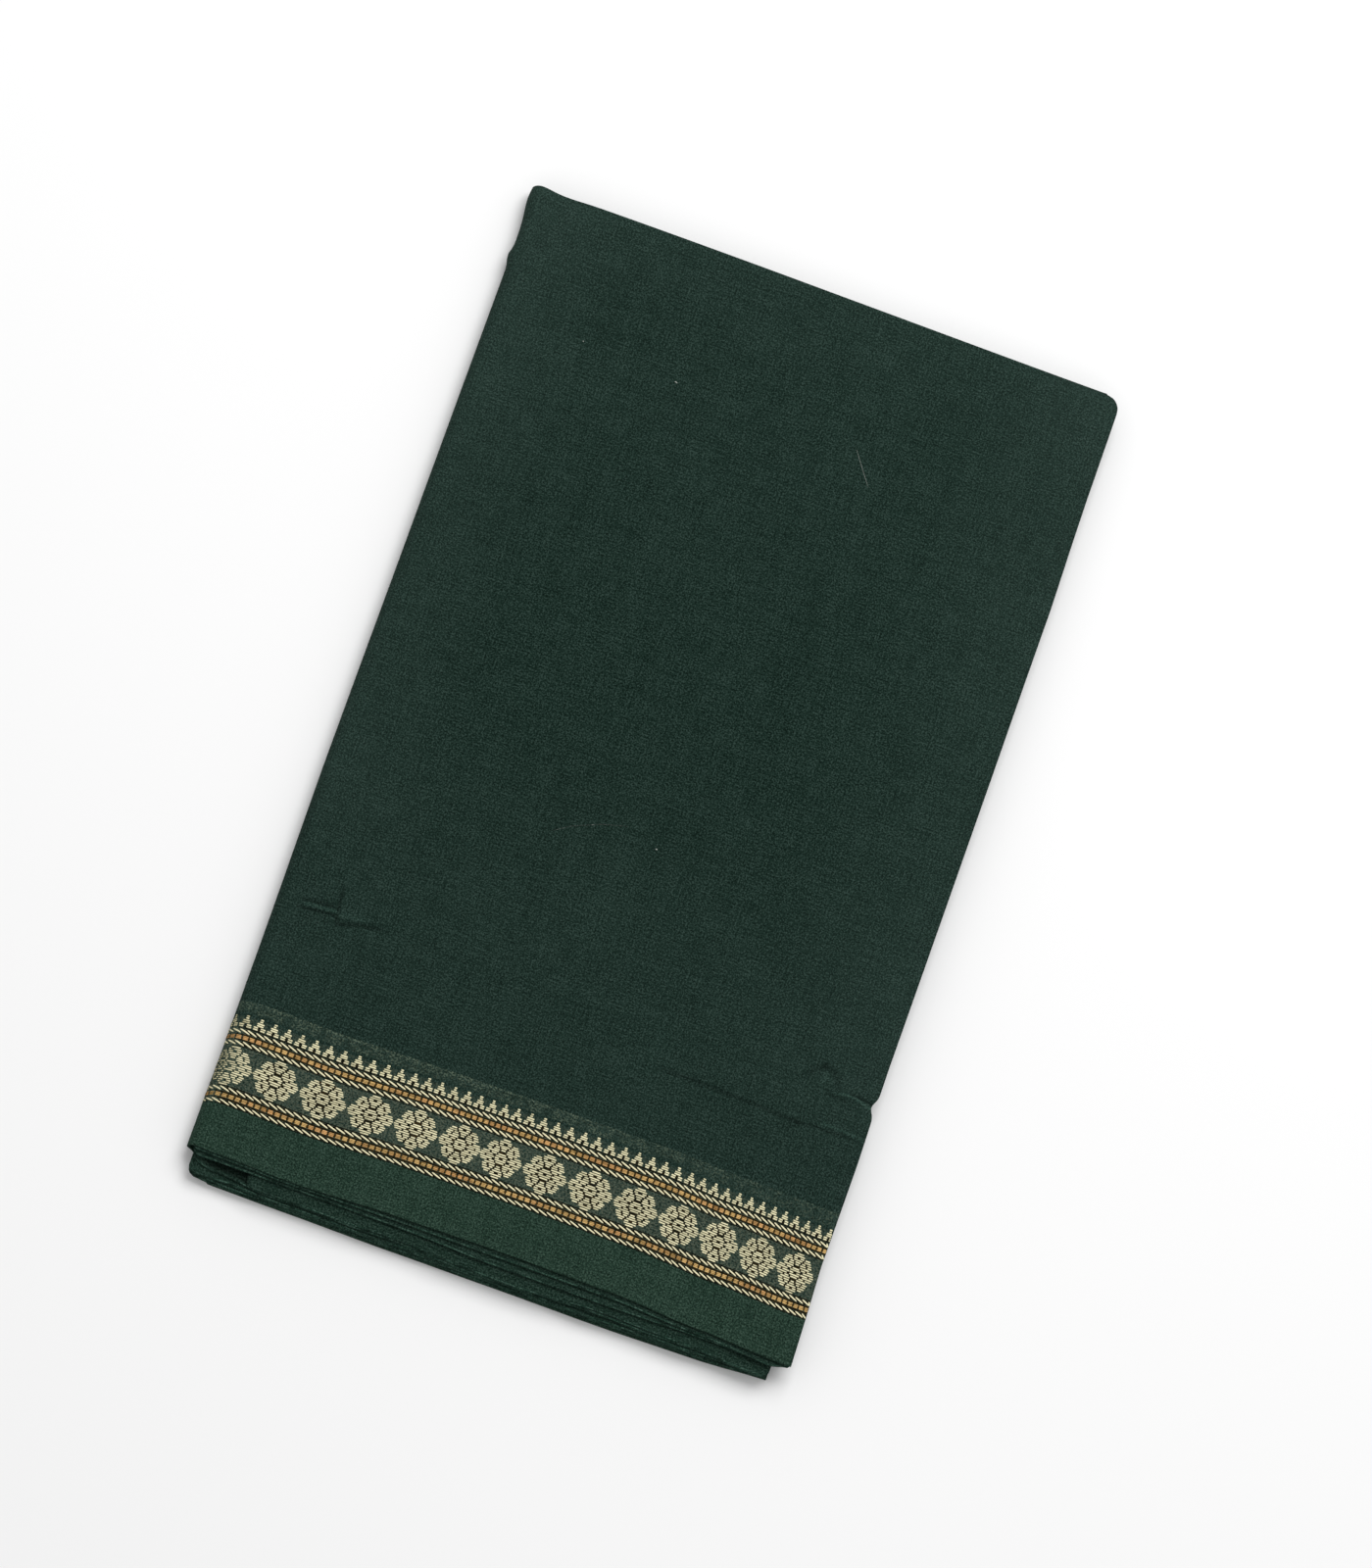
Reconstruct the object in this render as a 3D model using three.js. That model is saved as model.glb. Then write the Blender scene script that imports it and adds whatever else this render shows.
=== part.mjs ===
// A cotton saree folded flat for storing. One cloth, 5.5 m long and 1.12 m wide, is halved across its
// width and then four times along its length, and lies with its borders at the near end (-Y), the
// crosswise fold at the far end (+Y) and the last fold, which wraps the whole pack, on the left (-X).
// Millimetres, +Z up, with the origin on the surface under the middle of the pack.
import * as THREE from 'three';

// The cut cloth and what folding makes of it.
const CLOTH_WIDTH = 1120;
const PANEL_LENGTH = CLOTH_WIDTH / 2;      // each panel's length from the far fold to its hem
const PACK_THICK = 16.8;
const WALL = 1.6;                          // the double ply of the outer panels
const INNER_WALL = 1.3;                    // the double ply of the panels between
const RIM_SHARE = 0.45;                    // how much of a wall's thickness is left at its rims
const SEAM = 0.3;                          // air between neighbouring panels
const LONGEST_REACH = 17.5;                // how far the lowest hem runs out past the top one

// The plan, measured on the top panel.
const LEFT = -172.4;
const RIGHT = 169.4;
const HEAD = (PANEL_LENGTH + LONGEST_REACH) / 2;
const HEM = HEAD - PANEL_LENGTH;
const FLARE_HEIGHT = 60;                   // the near corners spread over this length
const LEFT_FLARE = 0.6;
const RIGHT_FLARE = 3.6;
const FAR_CORNER = 8;                      // radius of the far corners in plan
const NEAR_CORNER = 4;                     // and of the inner panels' near right corners
const SECOND_INSIDE = 1.5;                 // the second panel lies this far inside the top one's fold
const THIRD_LEFT = -168.6;
const THIRD_SHORT = 3;                     // how far the third panel stops short at the far end
const INNER_RIGHT = 163;                   // the right side of the third and back panels
const NOTCH = { station: 142, deep: 2.2, half: 4.5 };   // where the press crease nips the right side

// The roll round the left side is half an ellipse, upright.
const ROLL_WIDE = 6;
const ROLL_HIGH = PACK_THICK / 2;
const ROLL_STEPS = 6;

// Heights of the pieces between the outer panels, from the top down.
const SECOND_TOP = PACK_THICK - WALL - SEAM;
const THIRD_TOP = SECOND_TOP - INNER_WALL - SEAM;
const CORE_TOP = THIRD_TOP - INNER_WALL - SEAM;
const CORE_BOTTOM = WALL + SEAM;

// Press creases: troughs along X at a station up from the hem. They fade in from x0 to full depth at x1.
const CREASES = [
  { station: 145, x0: -92, x1: -150, deep: 0.9, half: 3.2 },
  { station: 146, x0: 118, x1: 150, deep: 1.0, half: 3.2 },
  { station: 125, x0: 40, x1: 120, deep: 0.7, half: 3.2 },
];

// The pocket left open between the third panel and the folds below it, at the near left corner.
const POCKET = { x: -148, half: 11, deep: 4.4, run: 20 };

// Each hem's reach past the straight hem line, at the places across the pack in HEM_AT.
const HEM_AT = [-170, -154, -112, -52, 8, 68, 118, 166];
const HEMS = {
  top: [0.3, 1.0, 2.1, 0.3, -0.2, 0.5, 4.6, 6.9],
  second: [3.4, 3.2, 3.2, 2.6, 3.0, 4.4, 6.2, 8.6],
  third: [5.0, 5.0, 6.8, 8.6, 7.0, 7.6, 7.0, 7.6],
  back: [1.0, 14.6, 16.1, 16.8, 17.0, 17.5, 16.9, 14.6],
};

// The hidden panels' edges, from the lowest layer up: how far its left, right and far sides stand in
// from the layer that reaches furthest, the radius of its near corners, and its hem's reach at HEM_AT.
const LAYERS = [
  { left: 5.5, right: 1.2, far: 4.0, corner: 8, hem: [8.0, 14.0, 15.0, 15.6, 16.0, 16.4, 15.8, 14.0] },
  { left: 1.2, right: 0.0, far: 1.5, corner: 6, hem: [12.4, 14.2, 14.9, 15.3, 15.4, 15.2, 15.9, 15.0] },
  { left: 0.0, right: 1.6, far: 0.0, corner: 5, hem: [11.4, 12.8, 13.8, 13.4, 14.2, 14.6, 15.4, 14.6] },
  { left: 0.5, right: 0.4, far: 2.2, corner: 4, hem: [9.6, 11.4, 12.6, 11.8, 13.0, 13.6, 15.4, 15.2] },
  { left: 1.0, right: 0.0, far: 0.8, corner: 3, hem: [6.8, 8.6, 11.1, 10.4, 11.0, 12.3, 15.0, 14.6] },
];
const CORE_LEFT = -170.0;
const CORE_RIGHT = 162.6;
const CORE_FAR = 5;                        // the hidden folds stop this far short of the top one
const GROOVE = 1.3;                        // how deep the cloth dips between two layers
const BULGE = [0, 0.3, 0.7];               // the rows of a layer, as shares of its height

// Lengths up the cloth from the hem that every piece's grid shares, so that neighbours bend alike
// over the creases, and the places across the pack of the hidden folds' grid, as shares of its width.
const NEAR_STATIONS = [0, 1, 10, 30, 60, 95];
const CREASE_STATIONS = [118, 122, 125, 128, 134, 140, 143, 146, 149, 155];
const FAR_STATIONS = [200, 320, 440, 530, 550, 556, 559.2, PANEL_LENGTH];
const STATIONS = [...NEAR_STATIONS, ...CREASE_STATIONS, ...FAR_STATIONS];
const FLAT_STATIONS = [...NEAR_STATIONS, 136, 142, 149, ...FAR_STATIONS];
const CORE_COLUMNS = [
  0, 0.02, 0.045, 0.07, 0.095, 0.13, 0.2, 0.28, 0.37, 0.47, 0.57, 0.67, 0.77, 0.86, 0.92, 0.97, 1,
];
const OUTER_COLUMNS = 14;                  // the flat columns of an outer panel's grid
const INNER_COLUMNS = 12;                  // and of an inner one's
const HEM_PULL = 90;                       // a hem's wave dies away over this length
const FAR_PULL = 120;                      // and a far end that stops short draws in over this one

const smooth = (t) => {
  const c = Math.min(1, Math.max(0, t));
  return c * c * (3 - 2 * c);
};
const mix = (a, b, t) => a + (b - a) * t;

// A row of values at the places HEM_AT, joined by smooth steps.
function across(values, x) {
  let k = 0;
  while (k < HEM_AT.length - 2 && x > HEM_AT[k + 1]) k += 1;
  return mix(values[k], values[k + 1], smooth((x - HEM_AT[k]) / (HEM_AT[k + 1] - HEM_AT[k])));
}

// How far a rounded corner draws a side in, at a distance from the end.
function cornerIn(distance, radius) {
  const d = Math.max(0, radius - distance);
  return radius - Math.sqrt(radius * radius - d * d);
}

// How deep the press creases run at a point.
function creaseAt(x, y) {
  return CREASES.reduce((sum, crease) => {
    const along = smooth((x - crease.x0) / (crease.x1 - crease.x0));
    const off = (y - HEM - crease.station) / crease.half;
    return sum + crease.deep * along * Math.exp(-off * off);
  }, 0);
}

// How far the folds under the pocket sink.
function pocketAt(x, y) {
  const off = (x - POCKET.x) / POCKET.half;
  return POCKET.deep * Math.exp(-off * off) * (1 - smooth((y - HEM + LONGEST_REACH) / POCKET.run));
}

// Where a station lies along Y, with the hem's reach and the shortfall at the far end.
function stationY(station, reach, short = 0) {
  const farPull = smooth((station - PANEL_LENGTH + FAR_PULL) / FAR_PULL);
  return HEM + station - reach * (1 - smooth(station / HEM_PULL)) - short * farPull;
}

// The sides of the outer panels at a station.
const leftAt = (station) => LEFT - LEFT_FLARE * (1 - smooth(station / FLARE_HEIGHT));
function rightAt(station) {
  const off = (station - NOTCH.station) / NOTCH.half;
  const flare = RIGHT_FLARE * (1 - smooth(station / FLARE_HEIGHT));
  return RIGHT + flare - cornerIn(PANEL_LENGTH - station, FAR_CORNER) - NOTCH.deep * Math.exp(-off * off);
}
const innerRightAt = (station) => INNER_RIGHT
  - cornerIn(PANEL_LENGTH - station, FAR_CORNER) - cornerIn(station, NEAR_CORNER);

// A geometry from its points and its triangles.
function geometryOf(positions, faces) {
  const geometry = new THREE.BufferGeometry();
  geometry.setAttribute('position', new THREE.Float32BufferAttribute(positions.flat(), 3));
  geometry.setIndex(faces);
  return geometry;
}

// The two triangles of a four-sided face.
const quad = (a, b, c, d) => [a, b, c, a, c, d];

// A closed wall from a grid of paired points, one on its outer face and one on its inner face.
function wallGeometry(rows) {
  const side = rows[0].length - 1;
  const top = rows.length - 1;
  const outer = (r, c) => 2 * (r * (side + 1) + c);
  const inner = (r, c) => outer(r, c) + 1;
  const faces = [];
  for (let r = 0; r < top; r += 1) {
    for (let c = 0; c < side; c += 1) {
      faces.push(...quad(outer(r, c), outer(r, c + 1), outer(r + 1, c + 1), outer(r + 1, c)));
      faces.push(...quad(inner(r, c), inner(r + 1, c), inner(r + 1, c + 1), inner(r, c + 1)));
    }
    faces.push(...quad(outer(r, 0), outer(r + 1, 0), inner(r + 1, 0), inner(r, 0)));
    faces.push(...quad(outer(r, side), inner(r, side), inner(r + 1, side), outer(r + 1, side)));
  }
  for (let c = 0; c < side; c += 1) {
    faces.push(...quad(outer(0, c), inner(0, c), inner(0, c + 1), outer(0, c + 1)));
    faces.push(...quad(outer(top, c), outer(top, c + 1), inner(top, c + 1), inner(top, c)));
  }
  return geometryOf(rows.flat(2), faces);
}

// The share of a wall's thickness at a place in a row whose first and last are its rims.
const rim = (index, last) => (index === 0 || index === last ? RIM_SHARE : 1);

// An outer panel: a flat sheet whose left side rolls round the pack down or up to its middle.
// facing is 1 for the top panel and -1 for the back one, whose flat face is the pack's underside.
function rolledPanel({ stations, hem, facing, right, flatColumns }) {
  const middle = PACK_THICK / 2;
  const columns = ROLL_STEPS + flatColumns;
  const lip = Math.asin(SEAM / 2 / (ROLL_HIGH - WALL));
  return wallGeometry(stations.map((station, row) => {
    const left = leftAt(station);
    const pairs = Array.from({ length: columns + 1 }, (_, c) => {
      const turn = mix(lip, Math.PI / 2, Math.min(1, c / ROLL_STEPS));
      const run = Math.max(0, (c - ROLL_STEPS) / flatColumns) * (right(station) - left - ROLL_WIDE);
      const share = Math.min(rim(row, stations.length - 1), c === columns ? RIM_SHARE : 1);
      const cut = (WALL * (1 - share)) / 2;
      const place = (depth) => {
        const x = left + ROLL_WIDE + run - (ROLL_WIDE - depth) * Math.cos(turn);
        const y = stationY(station, across(HEMS[hem], x));
        const sag = facing > 0 ? creaseAt(x, y) * Math.sin(turn) : 0;
        return [x, y, middle + facing * (ROLL_HIGH - depth) * Math.sin(turn) - sag];
      };
      return [place(facing > 0 ? cut : 0), place(WALL - cut)];
    });
    return facing > 0 ? pairs : pairs.reverse();
  }));
}

// A panel between the outer ones: a flat sheet with rounded rims that bends with the creases.
function flatPanel({ hem, top, left, right, short, flatColumns }) {
  return wallGeometry(STATIONS.map((station, row) => Array.from({ length: flatColumns + 1 }, (_, c) => {
    const cut = (INNER_WALL * (1 - Math.min(rim(row, STATIONS.length - 1), rim(c, flatColumns)))) / 2;
    const x = mix(left, right(station), c / flatColumns);
    const y = stationY(station, across(HEMS[hem], x), short);
    const z = top - creaseAt(x, y);
    return [[x, y, z - cut], [x, y, z - INNER_WALL + cut]];
  })));
}

// The outline of the hidden folds between two layers: their mean, drawn in by the groove.
function grooveOf(below, above) {
  return {
    left: (below.left + above.left) / 2 + GROOVE,
    right: (below.right + above.right) / 2 + GROOVE,
    far: (below.far + above.far) / 2 + GROOVE,
    corner: (below.corner + above.corner) / 2,
    hem: below.hem.map((reach, k) => (reach + above.hem[k]) / 2 - GROOVE),
  };
}

// A point of the hidden folds: its column and station on an outline, and its share of the height.
function corePoint(outline, column, station, share) {
  const corners = cornerIn(station, outline.corner) + cornerIn(PANEL_LENGTH - station, FAR_CORNER);
  const left = CORE_LEFT + outline.left + corners;
  const right = CORE_RIGHT - outline.right - corners;
  const x = mix(left, right, column);
  const y = stationY(station, across(outline.hem, x), CORE_FAR + outline.far);
  return [x, y, mix(CORE_BOTTOM, CORE_TOP - creaseAt(x, y) - pocketAt(x, y), share)];
}

// The hidden panels as one solid: a ring of points for each groove and bulge of its layered edge,
// closed by a grid above, which carries the creases and the pocket, and a flat grid below.
function layeredFolds() {
  const last = LAYERS.length - 1;
  const rings = LAYERS.flatMap((layer, k) => BULGE.map((share, row) => ({
    outline: row === 0 ? grooveOf(LAYERS[Math.max(0, k - 1)], layer) : layer,
    share: (k + share) / LAYERS.length,
  })));
  rings.push({ outline: grooveOf(LAYERS[last], LAYERS[last]), share: 1 });
  const columns = CORE_COLUMNS.length - 1;
  const rows = STATIONS.length - 1;
  const round = [];
  for (let c = 0; c < columns; c += 1) round.push([c, 0]);
  for (let r = 0; r < rows; r += 1) round.push([columns, r]);
  for (let c = columns; c > 0; c -= 1) round.push([c, rows]);
  for (let r = rows; r > 0; r -= 1) round.push([0, r]);
  const at = ({ outline, share }, [c, r]) => corePoint(outline, CORE_COLUMNS[c], STATIONS[r], share);
  const positions = rings.flatMap((ring) => round.map((spot) => at(ring, spot)));
  const faces = [];
  const place = (k, n) => k * round.length + (n % round.length);
  for (let k = 0; k < rings.length - 1; k += 1) {
    for (let n = 0; n < round.length; n += 1) {
      faces.push(...quad(place(k, n), place(k, n + 1), place(k + 1, n + 1), place(k + 1, n)));
    }
  }
  const cap = (k, up) => {
    const spots = new Map(round.map(([c, r], n) => [`${c},${r}`, place(k, n)]));
    for (let r = 1; r < rows; r += 1) {
      for (let c = 1; c < columns; c += 1) {
        spots.set(`${c},${r}`, positions.length);
        positions.push(at(rings[k], [c, r]));
      }
    }
    for (let r = 0; r < rows; r += 1) {
      for (let c = 0; c < columns; c += 1) {
        const four = [[c, r], [c + 1, r], [c + 1, r + 1], [c, r + 1]].map((spot) => spots.get(spot.join()));
        faces.push(...quad(...(up ? four : four.reverse())));
      }
    }
  };
  cap(rings.length - 1, true);
  cap(0, false);
  return geometryOf(positions, faces);
}

// The cloth, a shade lighter on the panel that takes the light.
const cloth = (color) => new THREE.MeshStandardMaterial({ color, roughness: 0.92, metalness: 0 });

const PIECES = [
  {
    name: 'top_panel',
    colour: 0x24352e,
    geometry: rolledPanel({
      stations: STATIONS,
      hem: 'top',
      facing: 1,
      right: rightAt,
      flatColumns: OUTER_COLUMNS,
    }),
  },
  {
    name: 'second_panel',
    colour: 0x22332c,
    geometry: flatPanel({
      hem: 'second',
      top: SECOND_TOP,
      left: LEFT + ROLL_WIDE + SEAM,
      right: (station) => rightAt(station) - SECOND_INSIDE,
      short: SECOND_INSIDE,
      flatColumns: INNER_COLUMNS,
    }),
  },
  {
    name: 'third_panel',
    colour: 0x20302a,
    geometry: flatPanel({
      hem: 'third',
      top: THIRD_TOP,
      left: THIRD_LEFT,
      right: innerRightAt,
      short: THIRD_SHORT,
      flatColumns: INNER_COLUMNS,
    }),
  },
  { name: 'inner_folds', colour: 0x1e2e27, geometry: layeredFolds() },
  {
    name: 'back_panel',
    colour: 0x20302a,
    geometry: rolledPanel({
      stations: FLAT_STATIONS,
      hem: 'back',
      facing: -1,
      right: innerRightAt,
      flatColumns: OUTER_COLUMNS,
    }),
  },
];

const group = new THREE.Group();
for (const { name, colour, geometry } of PIECES) {
  const mesh = new THREE.Mesh(geometry, cloth(colour));
  mesh.name = name;
  group.add(mesh);
}

export default group;
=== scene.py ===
# A cotton saree folded flat for storing, lying on a pale floor: dark green handloom cloth, 5.5 m by
# 1.12 m, with a border of cream rosettes, twisted cords and ochre beads woven along its edges.
import math

import bpy
import numpy as np
from mathutils import Matrix, Vector


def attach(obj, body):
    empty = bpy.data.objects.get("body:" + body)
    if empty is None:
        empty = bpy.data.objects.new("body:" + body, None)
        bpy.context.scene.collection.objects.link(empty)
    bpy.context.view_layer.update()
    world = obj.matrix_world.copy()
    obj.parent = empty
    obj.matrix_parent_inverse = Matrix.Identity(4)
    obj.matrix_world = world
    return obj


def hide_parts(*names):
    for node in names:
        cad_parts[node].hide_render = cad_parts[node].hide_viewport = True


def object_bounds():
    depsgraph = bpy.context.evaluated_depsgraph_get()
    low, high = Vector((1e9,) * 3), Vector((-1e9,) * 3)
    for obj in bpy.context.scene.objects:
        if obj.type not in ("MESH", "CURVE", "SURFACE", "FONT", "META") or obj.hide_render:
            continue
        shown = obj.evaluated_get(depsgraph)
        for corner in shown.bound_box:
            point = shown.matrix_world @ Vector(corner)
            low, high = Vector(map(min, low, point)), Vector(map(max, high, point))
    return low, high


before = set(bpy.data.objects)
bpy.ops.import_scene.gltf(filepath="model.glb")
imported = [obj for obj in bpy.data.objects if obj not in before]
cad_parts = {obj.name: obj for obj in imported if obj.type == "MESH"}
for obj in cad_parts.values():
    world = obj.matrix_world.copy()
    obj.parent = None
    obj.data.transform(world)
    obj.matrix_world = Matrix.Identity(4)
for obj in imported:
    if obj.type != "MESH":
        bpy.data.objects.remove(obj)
cad_low, cad_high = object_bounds()

# The view. The photograph looks down on the cloth from its border end, twelve degrees off the
# vertical, through a long lens, and is turned so that the far end leans to the right.
MM = 0.001
ELEVATION = math.radians(78)
ROLL = math.radians(19.5)
DISTANCE = 5.9
FRAME_HEIGHT = 0.8443  # metres of the cloth's plane that the picture's height takes in
LOOK_AT = Vector((0.0149, 0.0032, cad_high.z))
SENSOR = 36

camera = bpy.data.objects.new("camera", bpy.data.cameras.new("camera"))
bpy.context.collection.objects.link(camera)
bpy.context.scene.camera = camera
camera.data.sensor_fit = "VERTICAL"
camera.data.sensor_height = SENSOR
camera.data.lens = SENSOR * DISTANCE / FRAME_HEIGHT
camera.data.clip_end = 50
view_back = Vector((0, -math.cos(ELEVATION), math.sin(ELEVATION)))
plain_up = Vector((0, math.sin(ELEVATION), math.cos(ELEVATION)))
plain_right = Vector((1, 0, 0))
view_right = math.cos(ROLL) * plain_right + math.sin(ROLL) * plain_up
view_up = math.cos(ROLL) * plain_up - math.sin(ROLL) * plain_right
camera.matrix_world = Matrix.Translation(LOOK_AT + DISTANCE * view_back) @ Matrix(
    (view_right, view_up, view_back)
).transposed().to_4x4()
bpy.context.scene.view_settings.view_transform = "Standard"

# The floor and the light. A wide pale floor, one large soft lamp above the far right, and the
# room's own even light.
FLOOR_SIZE = 12.0
FLOOR_COLOUR = (0.9, 0.9, 0.9, 1)
WORLD_STRENGTH = 0.57

floor = bpy.data.objects.new("floor", bpy.data.meshes.new("floor"))
bpy.context.collection.objects.link(floor)
half_floor = FLOOR_SIZE / 2
floor.data.from_pydata(
    [(x * half_floor, y * half_floor, 0) for x, y in ((-1, -1), (1, -1), (1, 1), (-1, 1))],
    [],
    [(0, 1, 2, 3)],
)
floor_material = bpy.data.materials.new("pale_floor")
floor_material.use_nodes = True
floor_shader = floor_material.node_tree.nodes["Principled BSDF"]
floor_shader.inputs["Base Color"].default_value = FLOOR_COLOUR
floor_shader.inputs["Roughness"].default_value = 0.9
floor_shader.inputs["Specular IOR Level"].default_value = 0.1
floor.data.materials.append(floor_material)

world = bpy.data.worlds.new("room")
bpy.context.scene.world = world
world.use_nodes = True
world.node_tree.nodes["Background"].inputs["Color"].default_value = (1, 1, 1, 1)
world.node_tree.nodes["Background"].inputs["Strength"].default_value = WORLD_STRENGTH


def soft_lamp(name, place, size, power):
    """A square area lamp that shines on the middle of the cloth."""
    lamp = bpy.data.objects.new(name, bpy.data.lights.new(name, "AREA"))
    bpy.context.collection.objects.link(lamp)
    lamp.data.size = size
    lamp.data.energy = power
    lamp.location = place
    lamp.rotation_euler = Vector(place).to_track_quat("Z", "Y").to_euler()
    return lamp


soft_lamp("far_right", (0.5, 1.7, 2.8), 2.1, 78)

# The cloth. Plain-woven handloom cotton, piece-dyed bottle green: every thread is a little uneven,
# so it shows fine streaks both ways. All stretches of it share one weave.
GREEN = (0.0092, 0.0232, 0.0172, 1)
GREEN_LIT = (0.0310, 0.0560, 0.0460, 1)
GREEN_DEEP = (0.0025, 0.0080, 0.0055, 1)
THREAD_PITCH = 0.56 * MM


def new_group(name, inputs, outputs):
    """A shader node group with its named float, vector or colour sockets."""
    group = bpy.data.node_groups.new(name, "ShaderNodeTree")
    for kind, sockets in (("INPUT", inputs), ("OUTPUT", outputs)):
        for label, socket_type, value in sockets:
            socket = group.interface.new_socket(label, in_out=kind, socket_type=f"NodeSocket{socket_type}")
            if value is not None:
                socket.default_value = value
    return group, group.nodes.new("NodeGroupInput"), group.nodes.new("NodeGroupOutput")


class Wiring:
    """Short ways to add nodes to a tree: maths, noise, ramps and mixes, each from its inputs."""

    def __init__(self, tree):
        self.tree = tree

    def put(self, socket, value):
        if isinstance(value, bpy.types.NodeSocket):
            self.tree.links.new(value, socket)
        elif value is not None:
            socket.default_value = value

    def node(self, kind, **settings):
        made = self.tree.nodes.new(kind)
        for key, value in settings.items():
            setattr(made, key, value)
        return made

    def math(self, operation, a, b=None, c=None, clamp=False):
        made = self.node("ShaderNodeMath", operation=operation, use_clamp=clamp)
        for socket, value in zip(made.inputs, (a, b, c)):
            self.put(socket, value)
        return made.outputs[0]

    def noise(self, vector, scale, detail=2.0, rough=0.5):
        made = self.node("ShaderNodeTexNoise")
        for key, value in (("Vector", vector), ("Scale", scale), ("Detail", detail), ("Roughness", rough)):
            self.put(made.inputs[key], value)
        return made.outputs["Fac"]

    def combine(self, x, y, z=0.0):
        made = self.node("ShaderNodeCombineXYZ")
        for socket, value in zip(made.inputs, (x, y, z)):
            self.put(socket, value)
        return made.outputs[0]

    def step(self, value, low, high):
        """0 below low and 1 above high, with a smooth rise between them."""
        made = self.node("ShaderNodeMapRange", interpolation_type="SMOOTHSTEP")
        for key, put in (("Value", value), ("From Min", low), ("From Max", high)):
            self.put(made.inputs[key], put)
        return made.outputs["Result"]

    def mix(self, factor, a, b):
        made = self.node("ShaderNodeMix", data_type="RGBA")
        for label, value in (("Factor", factor), ("A", a), ("B", b)):
            self.put(made.inputs[label], value)
        return made.outputs["Result"]


def make_weave():
    """The weave: from a place on the cloth in metres, how light each thread is and how high it lies.

    Warp and weft cross over and under like a chequerboard, each thread a half round. Stretched
    noise makes threads thick and thin along their length, and finer noise roughens each crossing.
    """
    group, given, made = new_group(
        "plain_weave",
        [
            ("Place", "Vector", None),
            ("Pitch", "Float", THREAD_PITCH),
            ("Upright", "Float", 1.1),
            ("Level", "Float", 1.1),
        ],
        [("Shade", "Float", None), ("Height", "Float", None)],
    )
    wire = Wiring(group)
    split = wire.node("ShaderNodeSeparateXYZ")
    wire.put(split.inputs[0], given.outputs["Place"])
    along, up = split.outputs[0], split.outputs[1]
    turns_u = wire.math("DIVIDE", along, given.outputs["Pitch"])
    turns_v = wire.math("DIVIDE", up, given.outputs["Pitch"])
    wave_u = wire.math("SINE", wire.math("MULTIPLY", turns_u, math.pi))
    wave_v = wire.math("SINE", wire.math("MULTIPLY", turns_v, math.pi))
    over = wire.math("MULTIPLY_ADD", wire.math("MULTIPLY", wave_u, wave_v), 0.5, 0.5)
    round_u = wire.math("ABSOLUTE", wave_u)
    round_v = wire.math("ABSOLUTE", wave_v)
    warp = wire.math("MULTIPLY", round_u, over)
    weft = wire.math("MULTIPLY", round_v, wire.math("SUBTRACT", 1.0, over))
    crossing = wire.math("MAXIMUM", warp, weft)
    # uneven threads: across the cloth, along it, and the broad bands of the loom's beat
    shares = []
    for across_scale, up_scale, seed, amount in (
        (1000.0, 70.0, 0.0, given.outputs["Upright"]),
        (70.0, 1000.0, 7.0, given.outputs["Level"]),
        (1000.0, 980.0, 3.0, 4.0),
        (1450.0, 1400.0, 13.0, 3.6),
        (9.0, 130.0, 11.0, 0.35),
        (110.0, 7.0, 19.0, 0.35),
        (26.0, 22.0, 23.0, 0.2),
    ):
        spot_along = wire.math("MULTIPLY", along, across_scale)
        spot_up = wire.math("MULTIPLY", up, up_scale)
        shares.append((wire.noise(wire.combine(spot_along, spot_up, seed), 1.0, 1.0), amount))
    shade = wire.math("ADD", 1.0, 0.0)
    for share, amount in shares:
        shade = wire.math("MULTIPLY_ADD", wire.math("SUBTRACT", share, 0.5), amount, shade)
    nubs = shares[2][0]
    # painted light and shade: each crossing is painted lighter on its crown and darker where it dips under
    shade = wire.math("MULTIPLY", shade, wire.math("MULTIPLY_ADD", crossing, 0.3, 0.83))
    height = wire.math("MULTIPLY_ADD", nubs, 0.35, crossing)
    wire.put(made.inputs["Shade"], shade)
    wire.put(made.inputs["Height"], height)
    return group


plain_weave = make_weave()

# The border's heights above the hem, in millimetres, lowest first, as the cloth is woven.
PANEL_LENGTH = 560.0
SELVEDGE_TOP = 26.2
BORDER_TOP = 76.6
GHOST_TOP = 84.0


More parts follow.
